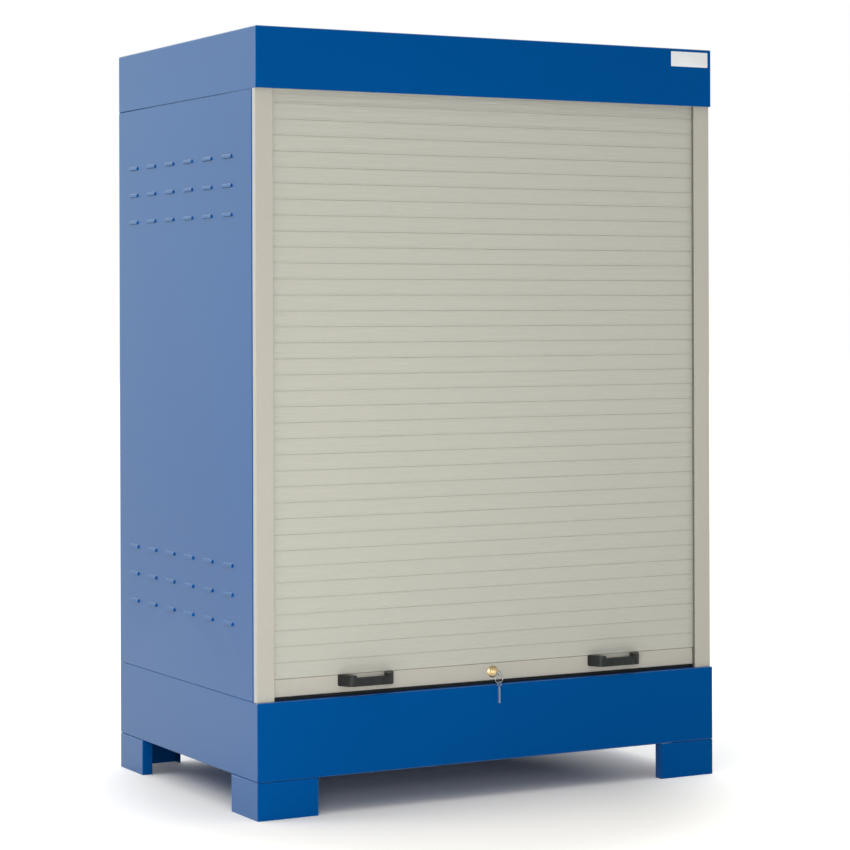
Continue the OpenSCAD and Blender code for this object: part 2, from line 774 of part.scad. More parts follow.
// Bow handle: its plan with leaning legs, cut to the front outline of two tall feet and a lower grip
module handle(x) {
    h = handle_len / 2;
    inner = h - handle_foot_w;
    front = h - leg_lean;
    grip_in = inner - leg_lean * (handle_out - grip_t) / handle_out;
    bevel_x = leg_lean * grip_bevel / handle_out;
    foot_w = handle_foot_w + leg_lean / 2;
    color("#2b2b2b") difference() {
        intersection() {
            translate([x, fy(curtain_front), handle_z]) linear_extrude(handle_foot_h) difference() {
                polygon([
                    [-h, 0], [-front - bevel_x, grip_bevel - handle_out], [grip_bevel - front, -handle_out],
                    [front - grip_bevel, -handle_out], [front + bevel_x, grip_bevel - handle_out], [h, 0]
                ]);
                polygon([
                    [-inner, 0], [-grip_in, grip_t - handle_out], [grip_in, grip_t - handle_out],
                    [inner, 0], [inner, eps], [-inner, eps]
                ]);
            }
            along_y(fy(curtain_front - handle_out), fy(curtain_front)) translate([x - h, handle_z]) {
                round_rect(handle_len, grip_h, 3);
                for (s = [0, handle_len - foot_w])
                    translate([s, 0]) round_rect(foot_w, handle_foot_h, 3);
            }
        }
        handle_screw_places() cylinder(handle_screw_len + eps, r = small_screw_r + press_gap);
    }
}

module handle_left() { handle(-handle_x); }
module handle_right() { handle(handle_x); }

// A turned lock part along +Y, drawn at depth v
module turned_at(v) {
    translate([0, fy(v), lock_z]) rotate([-90, 0, 0]) children();
}

module lock_housing() {
    color("#c9a24b") turned_at(curtain_front - lock_face_t) difference() {
        union() {
            rotate_extrude() polygon([
                [0, 0], [lock_flat_r, 0], [lock_face_r, lock_face_t - lock_rim_t], [lock_face_r, lock_face_t],
                [0, lock_face_t]
            ]);
            cylinder(lock_face_t + lock_len, r = lock_body_r);
        }
        translate([0, 0, -eps]) cylinder(lock_face_t + lock_len + 2 * eps, r = plug_r + plug_clear);
    }
}

module lock_nut() {
    color("#c9a24b") turned_at(curtain_front + bar_wall) difference() {
        cylinder(4, r = lock_body_r + 5, $fn = 6);
        translate([0, 0, -eps]) cylinder(4 + 2 * eps, r = lock_body_r + press_gap);
    }
}

module lock_plug() {
    color("#b8913c") turned_at(curtain_front - lock_face_t) difference() {
        cylinder(lock_face_t + lock_len + cam_gap, r = plug_r);
        translate([-key_t / 2 - key_slack, -blade_h / 2 - key_slack, -eps])
            cube([key_t + 2 * key_slack, blade_h + 2 * key_slack, blade_len + 2 * eps]);
    }
}

// Disc on the plug's end with a crank pin for each bolt, half a turn apart
module lock_cam() {
    color("#9aa0a4") turned_at(curtain_front + lock_len + cam_gap) {
        cylinder(cam_t, r = cam_r);
        for (a = [0, 180])
            rotate([0, 0, a + 45]) translate([0, crank_r, 0])
                cylinder(cam_t + crank_pin_len, r = crank_pin_r);
    }
}

// Flat bolt in the bar, joggled back to a slotted plate on its crank pin; up is 1 or -1
module lock_bolt(up) {
    plate_p = lock_len + cam_gap + cam_t + 0.4;
    pin_x = crank_r / sqrt(2);
    slot_half = crank_pin_r + crank_clear;
    plate_q = crank_r / sqrt(2) - slot_half - 2;
    plate_h = crank_r + slot_half + 2 - plate_q;
    step_x = cam_r + 10;
    step_w = 8;
    color("#9aa0a4") translate([0, fy(curtain_front), lock_z]) difference() {
        union() {
            translate([-glide_half, bolt_p, -bolt_h / 2]) cube([glide_half - step_x, bolt_t, bolt_h]);
            translate([-step_x - step_w, bolt_p, -bolt_h / 2])
                cube([step_w, plate_p + crank_plate - bolt_p, bolt_h]);
            mirror([0, 0, up > 0 ? 0 : 1]) translate([-step_x - step_w, plate_p, -bolt_h / 2])
                cube([step_w, crank_plate, plate_q + plate_h + bolt_h / 2]);
            mirror([0, 0, up > 0 ? 0 : 1]) translate([-step_x - step_w, plate_p, plate_q])
                cube([step_x + step_w + pin_x + slot_half + 2, crank_plate, plate_h]);
        }
        mirror([0, 0, up > 0 ? 0 : 1])
            translate([-slot_half + pin_x, plate_p - eps, crank_r / sqrt(2) - slot_half])
                cube([2 * slot_half, crank_plate + 2 * eps, crank_r - crank_r / sqrt(2) + 2 * slot_half]);
    }
}

module lock_bolt_left() { lock_bolt(1); }
module lock_bolt_right() { mirror([1, 0, 0]) lock_bolt(-1); }

// Strike block at the bottom of a slot, just above where the bolt comes out
module strike() {
    color("#8c8f93")
        translate([-slot_x, fy(curtain_front - 0.5), lock_z + bolt_h / 2 + 0.5])
            cube([slot_x - glide_half - strike_gap, slat_d + 1, strike_h]);
}

module strike_left() { on_side(false) strike(); }
module strike_right() { on_side(true) strike(); }

// A key's plate: depth as x, height as y, with the bow's middle on the origin and the blade along +x
module key_plate(blade_to) {
    shank = 5;
    difference() {
        union() {
            circle(key_bow_r);
            translate([0, -shank / 2]) square([blade_to - 12, shank]);
            translate([key_bow_r + 3, -blade_h / 2]) square([blade_to - key_bow_r - 3, blade_h]);
        }
        circle(key_hole_r);
        for (c = [0 : 2])
            translate([blade_to - 4 - 4 * c, blade_h / 2 + 0.6]) circle(1.8);
    }
}

module key() {
    color("#b9bcc0") along_x(-key_t / 2, key_t / 2) translate([fy(bow_y), lock_z])
        key_plate(key_bow_out + blade_len - key_slack);
}

module key_ring() {
    color("#b9bcc0") translate([0, fy(bow_y), ring_z]) rotate([90, 0, 0])
        rotate_extrude() translate([ring_r, 0]) circle(ring_wire_r);
}

module spare_key() {
    color("#b9bcc0") translate([0, fy(bow_y), spare_hole_z]) rotate([0, 0, spare_turn])
        along_x(-key_t / 2, key_t / 2) rotate(-90) key_plate(spare_len);
}

// A turned drum part along +X, drawn from x
module drum_at(x) {
    translate([x, fy(drum_y), drum_z]) rotate([0, 90, 0]) children();
}

module winding_tube() {
    color("#a9adb0") drum_at(-tube_half) difference() {
        cylinder(2 * tube_half, r = tube_r);
        translate([0, 0, -eps]) cylinder(2 * tube_half + 2 * eps, r = tube_r - tube_wall);
    }
}

module tube_bush() {
    color("#232323") drum_at(-bush_out) difference() {
        union() {
            cylinder(bush_flange, r = tube_r);
            cylinder(bush_flange + bush_len, r = tube_r - tube_wall - press_gap);
        }
        translate([0, 0, -eps]) cylinder(bush_flange + bush_len + 2 * eps, r = shaft_r + bush_clear);
    }
}

module tube_bush_left() { on_side(false) tube_bush(); }
module tube_bush_right() { on_side(true) tube_bush(); }

// Straps that tie the last wound slat to the tube: a clip round its ball and a band on the tube
module curtain_straps() {
    a = touch_a - wound_n * wind_step;
    clip_r = socket_r + strap_t;
    color("#3a3a3a") for (x = spread(-slat_half * 0.75, slat_half * 0.75, 4))
        along_x(x - strap_w / 2, x + strap_w / 2) translate([fy(drum_y), drum_z]) rotate(a) {
            difference() {
                union() {
                    translate([wind_r, 0]) circle(clip_r);
                    translate([tube_r + strap_t / 2, -clip_r]) square([wind_r - tube_r - strap_t / 2, strap_t]);
                }
                translate([wind_r, 0]) circle(socket_r);
                translate([wind_r, 0]) rotate(wind_step / 2) translate([-neck_t, 0])
                    square([clip_r + neck_t, 2 * clip_r]);
            }
            intersection() {
                difference() {
                    circle(tube_r + strap_t);
                    circle(tube_r);
                }
                polygon([[0, 0], [2 * tube_r, -clip_r], [2 * tube_r, -clip_r - 2 * tube_r], [0, -2 * tube_r]]);
            }
        }
}

module drum_shaft() {
    color("#8c8f93") drum_at(-boss_in - boss_len) cylinder(2 * (boss_in + boss_len), r = shaft_r);
}

// Close-wound counterbalance spring round the shaft, inside the tube
module torsion_spring() {
    inner = shaft_r + spring_gap;
    color("#55585c") drum_at(-spring_len) difference() {
        cylinder(spring_len, r = inner + spring_wire / 2);
        translate([0, 0, -eps]) cylinder(spring_len + 2 * eps, r = inner);
    }
}

module spring_collar() {
    color("#8c8f93") drum_at(0) difference() {
        cylinder(spring_collar, r = shaft_r + spring_gap + spring_wire / 2);
        translate([0, 0, -eps]) cylinder(spring_collar + 2 * eps, r = shaft_r + press_gap);
    }
}

// The bracket screws' axes along -X, at the inner face of the left bracket's plate
module bracket_places() {
    for (y = bracket_ys, z = bracket_zs)
        translate([-panel_x + panel_t + bracket_t, fy(y), z]) rotate([0, -90, 0]) children();
}

module bearing_bracket() {
    color("#8c8f93") difference() {
        union() {
            translate([-panel_x + panel_t, fy(drum_y) - bracket_w / 2, drum_z - bracket_h / 2])
                cube([bracket_t, bracket_w, bracket_h]);
            drum_at(-boss_in - boss_len) cylinder(boss_len, r = boss_r);
        }
        drum_at(-boss_in - boss_len) cylinder(boss_len + eps, r = shaft_r + press_gap);
        bracket_places() cylinder(4 * bracket_t, r = screw_r + screw_clear, center = true);
    }
}

module bearing_bracket_left() { on_side(false) bearing_bracket(); }
module bearing_bracket_right() { on_side(true) bearing_bracket(); }

module bracket_screws() {
    color("#8c8f93") for (right = [false, true])
        on_side(right) bracket_places() hex_screw(screw_r, bracket_t + panel_t);
}

module rail_screws() {
    color("#8c8f93") for (right = [false, true])
        on_side(right) rail_places() hex_screw(small_screw_r, panel_t + rail_t);
}

module base_screws() {
    color("#8c8f93") base_places() translate([0, 0, panel_t]) rotate([180, 0, 0])
        hex_screw(screw_r, base_screw_len);
}

// Studs on the roof's sides that pass through the walls to a nut inside; axes along -X
module stud_places() {
    for (v = stud_ys)
        translate([-panel_x + panel_t, fy(v), stud_z]) rotate([0, -90, 0]) children();
}

module roof_studs() {
    color("#8c8f93") for (right = [false, true])
        on_side(right) stud_places() hex_screw(screw_r, panel_t);
}

sump_tray();
foot_front_left();
foot_front_right();
foot_rear_left();
foot_rear_right();
grating_ledge_left();
grating_ledge_right();
grating_beam();
grating_left();
grating_right();
side_panel_left();
side_panel_right();
rear_panel();
roof_hood();
guide_rail_left();
guide_rail_right();
guide_liner_left();
guide_liner_right();
curtain_slats();
bottom_bar();
bar_glide_left();
bar_glide_right();
bottom_seal();
handle_left();
handle_right();
handle_screws();
lock_housing();
lock_nut();
lock_plug();
lock_cam();
lock_bolt_left();
lock_bolt_right();
strike_left();
strike_right();
key();
key_ring();
spare_key();
winding_tube();
tube_bush_left();
tube_bush_right();
wound_slats();
curtain_straps();
drum_shaft();
torsion_spring();
spring_collar();
bearing_bracket_left();
bearing_bracket_right();
bracket_screws();
rail_screws();
base_screws();
roof_studs();
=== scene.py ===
# Looks of the roller shutter drum cabinet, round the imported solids. Metres, front towards -Y.
import json
import math

import bmesh
import bpy
from mathutils import Matrix, Vector


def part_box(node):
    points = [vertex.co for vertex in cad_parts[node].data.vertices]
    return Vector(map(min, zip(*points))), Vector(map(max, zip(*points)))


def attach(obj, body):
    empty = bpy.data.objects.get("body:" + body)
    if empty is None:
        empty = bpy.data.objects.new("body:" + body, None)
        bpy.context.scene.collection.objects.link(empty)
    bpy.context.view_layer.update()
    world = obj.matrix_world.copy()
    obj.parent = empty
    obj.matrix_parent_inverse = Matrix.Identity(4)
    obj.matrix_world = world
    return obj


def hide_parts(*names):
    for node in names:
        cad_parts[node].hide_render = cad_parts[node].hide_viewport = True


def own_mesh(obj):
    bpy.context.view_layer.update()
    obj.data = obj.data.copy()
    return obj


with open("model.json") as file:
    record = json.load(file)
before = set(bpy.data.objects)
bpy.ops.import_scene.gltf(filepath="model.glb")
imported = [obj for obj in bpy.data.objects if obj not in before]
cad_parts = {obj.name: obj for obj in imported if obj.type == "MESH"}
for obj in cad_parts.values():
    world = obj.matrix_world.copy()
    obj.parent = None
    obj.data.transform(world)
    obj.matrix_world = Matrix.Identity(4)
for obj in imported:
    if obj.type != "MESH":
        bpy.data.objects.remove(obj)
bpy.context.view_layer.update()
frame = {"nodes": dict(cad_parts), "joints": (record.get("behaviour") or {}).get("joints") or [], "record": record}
nodes = frame["nodes"]
scene = bpy.context.scene
mm = 0.001
print("frame loaded:", len(nodes), "nodes")


def linearColor(red, green, blue):  # display values 0 to 255, by the sRGB curve
    def channel(value):
        share = value / 255
        return share / 12.92 if share <= 0.04045 else ((share + 0.055) / 1.055) ** 2.4

    return (channel(red), channel(green), channel(blue), 1.0)


def addNode(tree, kind, **settings):
    node = tree.nodes.new(kind)
    for name, value in settings.items():
        setattr(node, name, value)
    return node


def feed(tree, socket, value):  # a fixed value or another node's output
    if isinstance(value, bpy.types.NodeSocket):
        tree.links.new(value, socket)
    else:
        socket.default_value = value


def combine(tree, operation, first, second):
    node = addNode(tree, "ShaderNodeMath", operation=operation)
    feed(tree, node.inputs[0], first)
    feed(tree, node.inputs[1], second)
    return node.outputs[0]


# The Mix node's sockets for each kind of value: first, second and result
blendSockets = {"FLOAT": (2, 3, 0), "RGBA": (6, 7, 2)}


def blend(tree, kind, share, first, second):
    firstAt, secondAt, resultAt = blendSockets[kind]
    mix = addNode(tree, "ShaderNodeMix", data_type=kind)
    feed(tree, mix.inputs["Factor"], share)
    feed(tree, mix.inputs[firstAt], first)
    feed(tree, mix.inputs[secondAt], second)
    return mix.outputs[resultAt]


def spreadOut(tree, value, low, high, toLow=0.0, toHigh=1.0):
    ramp = addNode(tree, "ShaderNodeMapRange")
    for label, number in (("From Min", low), ("From Max", high), ("To Min", toLow), ("To Max", toHigh)):
        ramp.inputs[label].default_value = number
    tree.links.new(value, ramp.inputs["Value"])
    return ramp.outputs["Result"]


def newGroup(name, inputs, outputs):
    group = bpy.data.node_groups.new(name, "ShaderNodeTree")
    for label, default in inputs:
        socket = group.interface.new_socket(label, in_out="INPUT", socket_type="NodeSocketFloat")
        socket.default_value = default
    for label in outputs:
        group.interface.new_socket(label, in_out="OUTPUT", socket_type="NodeSocketFloat")
    return group, addNode(group, "NodeGroupInput"), addNode(group, "NodeGroupOutput")


def objectCoords(tree):
    return addNode(tree, "ShaderNodeTexCoord").outputs["Object"]


def stretchCoords(tree, coords, scale, turn=(0, 0, 0)):
    stretch = addNode(tree, "ShaderNodeMapping")
    stretch.inputs["Rotation"].default_value = turn
    stretch.inputs["Scale"].default_value = scale
    tree.links.new(coords, stretch.inputs["Vector"])
    return stretch.outputs["Vector"]


def noiseOn(tree, coords, scale, detail, rough=0.5):
    noise = addNode(tree, "ShaderNodeTexNoise")
    noise.inputs["Detail"].default_value = detail
    noise.inputs["Roughness"].default_value = rough
    tree.links.new(coords, noise.inputs["Vector"])
    tree.links.new(scale, noise.inputs["Scale"])
    return noise.outputs["Fac"]


# Sprayed coat: orange peel for the bump, slow clouds for the colour, and the long waves of rolled strip
coatGrainLook = {
    "sizes": (("Peel Size", 600.0), ("Cloud Size", 2.5), ("Wave Size", 60.0)),
    "peelDetail": 1.0, "cloudDetail": 3.0, "cloudRange": (0.3, 0.7),
    "waveStretch": (0.07, 0.07, 1.0), "waveDetail": 3.0, "waveRough": 0.6,
}


def makeCoatGrain(look):
    group, given, out = newGroup("coatGrain", look["sizes"], ("Peel", "Cloud", "Wave"))
    coords = objectCoords(group)
    drawnOut = stretchCoords(group, coords, look["waveStretch"])
    wave = noiseOn(group, drawnOut, given.outputs["Wave Size"], look["waveDetail"], look["waveRough"])
    peel = noiseOn(group, coords, given.outputs["Peel Size"], look["peelDetail"])
    cloud = noiseOn(group, coords, given.outputs["Cloud Size"], look["cloudDetail"])
    group.links.new(peel, out.inputs["Peel"])
    group.links.new(spreadOut(group, cloud, *look["cloudRange"]), out.inputs["Cloud"])
    group.links.new(wave, out.inputs["Wave"])
    return group


# Handling marks: thin drawn-out smears that change the gloss
smearLook = {
    "sizes": (("Smear Size", 6.0),), "stretch": (1.0, 1.0, 3.5), "turn": (0.3, 0.2, 0.5),
    "detail": 6.0, "rough": 0.62, "range": (0.35, 0.75),
}


def makeSmears(look):
    group, given, out = newGroup("smears", look["sizes"], ("Smear",))
    coords = stretchCoords(group, objectCoords(group), look["stretch"], look["turn"])
    smear = noiseOn(group, coords, given.outputs["Smear Size"], look["detail"], look["rough"])
    group.links.new(spreadOut(group, smear, *look["range"]), out.inputs["Smear"])
    return group


# Painted edge highlight: a mask of sharp edges, from the mesh's own sharpness, broken up in patches; the coatings
# shift their colour there
edgeToneLook = {
    "sizes": (("Break Up", 60.0),), "sharpRange": (0.52, 0.6), "patchDetail": 4.0, "patchRange": (0.42, 0.62),
}


def makeEdgeTone(look):
    group, given, out = newGroup("edgeTone", look["sizes"], ("Edge",))
    pointiness = addNode(group, "ShaderNodeNewGeometry").outputs["Pointiness"]
    sharp = spreadOut(group, pointiness, *look["sharpRange"])
    patch = noiseOn(group, objectCoords(group), given.outputs["Break Up"], look["patchDetail"])
    patch = spreadOut(group, patch, *look["patchRange"])
    group.links.new(combine(group, "MULTIPLY", sharp, patch), out.inputs["Edge"])
    return group


# Drawn or brushed metal: fine lines along X, and zinc flowers for galvanised sheet
metalGrainLook = {
    "sizes": (("Line Size", 900.0), ("Flower Size", 90.0)),
    "lineStretch": (0.02, 1.0, 1.0), "lineDetail": 3.0,
}


def makeMetalGrain(look):
    group, given, out = newGroup("metalGrain", look["sizes"], ("Line", "Flower"))
    coords = objectCoords(group)
    drawnOut = stretchCoords(group, coords, look["lineStretch"])
    line = noiseOn(group, drawnOut, given.outputs["Line Size"], look["lineDetail"])
    group.links.new(line, out.inputs["Line"])
    flower = addNode(group, "ShaderNodeTexVoronoi")
    group.links.new(coords, flower.inputs["Vector"])
    group.links.new(given.outputs["Flower Size"], flower.inputs["Scale"])
    gray = addNode(group, "ShaderNodeRGBToBW")
    group.links.new(flower.outputs["Color"], gray.inputs["Color"])
    group.links.new(gray.outputs["Val"], out.inputs["Flower"])
    return group


coatGrain = makeCoatGrain(coatGrainLook)
smears = makeSmears(smearLook)
edgeTone = makeEdgeTone(edgeToneLook)
metalGrain = makeMetalGrain(metalGrainLook)


def useGroup(tree, group, **values):
    node = addNode(tree, "ShaderNodeGroup", node_tree=group)
    for label, value in values.items():
        node.inputs[label.replace("_", " ")].default_value = value
    return node


def bumpFrom(tree, height, strength, depth, under=None):
    bump = addNode(tree, "ShaderNodeBump")
    if under:
        tree.links.new(under, bump.inputs["Normal"])
    bump.inputs["Strength"].default_value = strength
    bump.inputs["Distance"].default_value = depth
    tree.links.new(height, bump.inputs["Height"])
    return bump.outputs["Normal"]


def newFinish(name):
    material = bpy.data.materials.new(name)
    material.use_nodes = True
    return material, material.node_tree, material.node_tree.nodes["Principled BSDF"]


# Paint, plastic and rubber
def makeCoating(name, look):
    material, tree, shader = newFinish(name)
    grain = useGroup(tree, coatGrain, Peel_Size=look["peelSize"], Cloud_Size=look["cloudSize"])
    marks = useGroup(tree, smears, Smear_Size=look["smearSize"])
    edgeToneShare = useGroup(tree, edgeTone, Break_Up=look["edgeToneSize"])
    main, cloudy, edgeToneTint = (linearColor(*look[key]) for key in ("color", "cloudColor", "edgeToneColor"))
    color = blend(tree, "RGBA", grain.outputs["Cloud"], main, cloudy)
    # Sharp edges shift to the edge colour: a painted edge highlight where it is lighter than the main colour; on
    # the white plate the edges turn darker
    edgeToneMix = combine(tree, "MULTIPLY", edgeToneShare.outputs["Edge"], look["edgeToneShare"])
    tree.links.new(blend(tree, "RGBA", edgeToneMix, color, edgeToneTint), shader.inputs["Base Color"])
    gloss = spreadOut(tree, marks.outputs["Smear"], 0.0, 1.0, *look["roughness"])
    tree.links.new(gloss, shader.inputs["Roughness"])
    waves = None
    if "waveDepth" in look:
        grain.inputs["Wave Size"].default_value = look["waveSize"]
        waves = bumpFrom(tree, grain.outputs["Wave"], 1.0, look["waveDepth"])
    normal = bumpFrom(tree, grain.outputs["Peel"], look["bump"], look["bumpDepth"], waves)
    tree.links.new(normal, shader.inputs["Normal"])
    shader.inputs["IOR"].default_value = look["ior"]
    if "varnish" in look:  # a gloss that comes in towards a glancing view
        facing = addNode(tree, "ShaderNodeLayerWeight").outputs["Facing"]
        tree.links.new(spreadOut(tree, facing, *look["varnish"]), shader.inputs["Coat Weight"])
        shader.inputs["Coat IOR"].default_value = look["varnishIor"]
        shader.inputs["Coat Roughness"].default_value = look["varnishRoughness"]
    return material


# Bare and plated metal
metalBumpDepth = 0.0001


def makeMetal(name, look):
    material, tree, shader = newFinish(name)
    grain = useGroup(tree, metalGrain, Line_Size=look["lineSize"], Flower_Size=look["flowerSize"])
    marks = useGroup(tree, smears, Smear_Size=look["smearSize"])
    pattern = blend(tree, "FLOAT", look["flower"], grain.outputs["Line"], grain.outputs["Flower"])
    color = blend(tree, "RGBA", pattern, linearColor(*look["color"]), linearColor(*look["grainColor"]))
    tree.links.new(color, shader.inputs["Base Color"])
    gloss = spreadOut(tree, marks.outputs["Smear"], 0.0, 1.0, *look["roughness"])
    tree.links.new(gloss, shader.inputs["Roughness"])
    normal = bumpFrom(tree, grain.outputs["Line"], look["bump"], metalBumpDepth)
    tree.links.new(normal, shader.inputs["Normal"])
    shader.inputs["Metallic"].default_value = 1.0
    return material


glancingCoat = {"varnish": (0.2, 0.5, 0.0, 1.0), "varnishIor": 1.78, "varnishRoughness": 0.3}
# Each coating's edge colour, lighter than its main colour, is a painted edge highlight; the white plate's edge
# colour is darker than its own
bluePaint = makeCoating("bluePaint", {
    "color": (0, 78, 146), "cloudColor": (0, 76, 143), "edgeToneColor": (6, 88, 156), "edgeToneShare": 0.5, "edgeToneSize": 60.0,
    "peelSize": 520.0, "cloudSize": 1.6, "smearSize": 3.0, "roughness": (0.4, 0.46),
    "bump": 0.05, "bumpDepth": 0.0003, "ior": 1.06, **glancingCoat,
})
greyCoat = makeCoating("greyCoat", {
    "color": (190, 189, 178), "cloudColor": (188, 187, 176), "edgeToneColor": (198, 197, 188),
    "edgeToneShare": 0.05, "edgeToneSize": 60.0,
    "peelSize": 700.0, "cloudSize": 1.2, "smearSize": 4.0, "roughness": (0.46, 0.48),
    "bump": 0.015, "bumpDepth": 0.0002, "waveSize": 110.0, "waveDepth": 0.002, "ior": 1.45,
})
railCoat = makeCoating("railCoat", {
    "color": (187, 183, 172), "cloudColor": (185, 181, 170), "edgeToneColor": (195, 191, 181),
    "edgeToneShare": 0.4, "edgeToneSize": 60.0,
    "peelSize": 700.0, "cloudSize": 1.2, "smearSize": 4.0, "roughness": (0.46, 0.48),
    "bump": 0.015, "bumpDepth": 0.0002, "ior": 1.45, **glancingCoat,
})
handlePlastic = makeCoating("handlePlastic", {
    "color": (20, 20, 20), "cloudColor": (24, 24, 24), "edgeToneColor": (46, 46, 46), "edgeToneShare": 0.5, "edgeToneSize": 90.0,
    "peelSize": 1400.0, "cloudSize": 20.0, "smearSize": 14.0, "roughness": (0.38, 0.52),
    "bump": 0.25, "bumpDepth": 0.0003, "ior": 1.48,
})
blackPlastic = makeCoating("blackPlastic", {
    "color": (26, 25, 24), "cloudColor": (31, 30, 29), "edgeToneColor": (48, 47, 46), "edgeToneShare": 0.5, "edgeToneSize": 90.0,
    "peelSize": 1200.0, "cloudSize": 12.0, "smearSize": 10.0, "roughness": (0.5, 0.65),
    "bump": 0.2, "bumpDepth": 0.0003, "ior": 1.46,
})
sealRubber = makeCoating("sealRubber", {
    "color": (20, 20, 20), "cloudColor": (25, 25, 25), "edgeToneColor": (40, 40, 40), "edgeToneShare": 0.4, "edgeToneSize": 120.0,
    "peelSize": 1600.0, "cloudSize": 10.0, "smearSize": 8.0, "roughness": (0.7, 0.85),
    "bump": 0.3, "bumpDepth": 0.0002, "ior": 1.4,
})
linerPlastic = makeCoating("linerPlastic", {
    "color": (124, 123, 116), "cloudColor": (118, 117, 110), "edgeToneColor": (140, 139, 132),
    "edgeToneShare": 0.4, "edgeToneSize": 90.0,
    "peelSize": 1200.0, "cloudSize": 10.0, "smearSize": 10.0, "roughness": (0.55, 0.65),
    "bump": 0.15, "bumpDepth": 0.0002, "ior": 1.45,
})
plateWhite = makeCoating("plateWhite", {
    "color": (238, 240, 242), "cloudColor": (233, 236, 239), "edgeToneColor": (222, 226, 230),
    "edgeToneShare": 0.4, "edgeToneSize": 90.0,
    "peelSize": 900.0, "cloudSize": 8.0, "smearSize": 12.0, "roughness": (0.28, 0.36),
    "bump": 0.05, "bumpDepth": 0.0002, "ior": 1.5,
})
galvanised = makeMetal("galvanised", {
    "color": (176, 180, 183), "grainColor": (146, 151, 155),
    "lineSize": 500.0, "flowerSize": 70.0, "flower": 0.8,
    "smearSize": 6.0, "roughness": (0.36, 0.5), "bump": 0.1,
})
zincPlate = makeMetal("zincPlate", {
    "color": (186, 188, 190), "grainColor": (160, 163, 168),
    "lineSize": 1800.0, "flowerSize": 400.0, "flower": 0.2,
    "smearSize": 30.0, "roughness": (0.26, 0.4), "bump": 0.1,
})
lockBrass = makeMetal("lockBrass", {
    "color": (250, 218, 166), "grainColor": (240, 200, 140),
    "lineSize": 2600.0, "flowerSize": 500.0, "flower": 0.15,
    "smearSize": 60.0, "roughness": (0.3, 0.42), "bump": 0.1,
})
keyNickel = makeMetal("keyNickel", {
    "color": (224, 225, 227), "grainColor": (206, 207, 210),
    "lineSize": 2600.0, "flowerSize": 500.0, "flower": 0.1,
    "smearSize": 50.0, "roughness": (0.16, 0.28), "bump": 0.1,
})
springSteel = makeMetal("springSteel", {
    "color": (96, 98, 102), "grainColor": (70, 72, 76),
    "lineSize": 800.0, "flowerSize": 300.0, "flower": 0.2,
    "smearSize": 20.0, "roughness": (0.35, 0.5), "bump": 0.2,
})
slotFinish = {
    "blue_paint": bluePaint, "grey_coat": greyCoat, "galvanised": galvanised, "zinc_screw": zincPlate,
    "black_plastic": blackPlastic, "liner_plastic": linerPlastic, "handle_plastic": handlePlastic,
    "lock_brass": lockBrass, "key_nickel": keyNickel, "seal_rubber": sealRubber, "spring_steel": springSteel,
}
print("finishes made:", len(slotFinish), "by slot, and the rails' and the plate's own")

record = frame["record"]
nodeSlot = {part["node"]: part["material_slot"] for part in record["subparts"]}
nodeFinish = {node: slotFinish[slot] for node, slot in nodeSlot.items()}
nodeFinish.update({node: railCoat for node in ("guide_rail_left", "guide_rail_right", "bottom_bar")})
nodeBody = {node: body for body, members in record["behaviour"]["bodies"].items() for node in members}
for node, item in nodes.items():
    item.data.materials.clear()
    item.data.materials.append(nodeFinish[node])
    item.data.polygons.foreach_set("use_smooth", [False] * len(item.data.polygons))


def linkPiece(name, mesh, finish):
    piece = bpy.data.objects.new(name, mesh)
    scene.collection.objects.link(piece)
    mesh.materials.clear()
    mesh.materials.append(finish)
    return piece


def meshFrom(solid, name):
    mesh = bpy.data.meshes.new(name)
    solid.to_mesh(mesh)
    solid.free()
    return mesh


def splitBigFaces(solid):
    bmesh.ops.triangulate(solid, faces=[f for f in solid.faces if len(f.verts) > 4])


def softenShading(piece, angle):
    mesh = piece.data
    mesh.polygons.foreach_set("use_smooth", [True] * len(mesh.polygons))
    mesh.set_sharp_from_angle(angle=math.radians(angle))


def evaluatedMesh(piece):
    return bpy.data.meshes.new_from_object(piece.evaluated_get(bpy.context.evaluated_depsgraph_get()))


def evenNormals(piece):
    even = piece.modifiers.new("evenNormals", "WEIGHTED_NORMAL")
    even.keep_sharp = True
    baked = evaluatedMesh(piece)
    piece.modifiers.clear()
    piece.data = baked


# Shallow pressed louvres: what stands out past the wall's face is drawn in to a share of its height
louvre = {"wallHalf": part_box("sump_tray")[1].x, "relief": 0.5}


def pressLouvres(solid):
    for vert in solid.verts:
        past = abs(vert.co.x) - louvre["wallHalf"]
        if past > 0:
            vert.co.x -= math.copysign(past * (1 - louvre["relief"]), vert.co.x)


# Folded sheet, rails, bar, handles, lock and keys, with the width of their broken edges
brokenEdges = {
    "sump_tray": ("sumpTray", 0.0008), "roof_hood": ("roofHood", 0.0006),
    "foot_front_left": ("footFrontLeft", 0.0008), "foot_front_right": ("footFrontRight", 0.0008),
    "foot_rear_left": ("footRearLeft", 0.0008), "foot_rear_right": ("footRearRight", 0.0008),
    "side_panel_left": ("sidePanelLeft", 0.0), "side_panel_right": ("sidePanelRight", 0.0),
    "rear_panel": ("rearPanel", 0.0003), "bottom_bar": ("bottomBar", 0.0004),
    "guide_rail_left": ("guideRailLeft", 0.0005), "guide_rail_right": ("guideRailRight", 0.0005),
    "handle_left": ("handleLeft", 0.0022), "handle_right": ("handleRight", 0.0022),
    "lock_housing": ("lockHousing", 0.0007), "key": ("keyInLock", 0.0003), "spare_key": ("spareKey", 0.0003),
}
edgeRules = {"merge": 0.00002, "flatAngle": 0.4, "hardAngle": 40, "wideEdge": 0.002, "smoothAngle": 38}


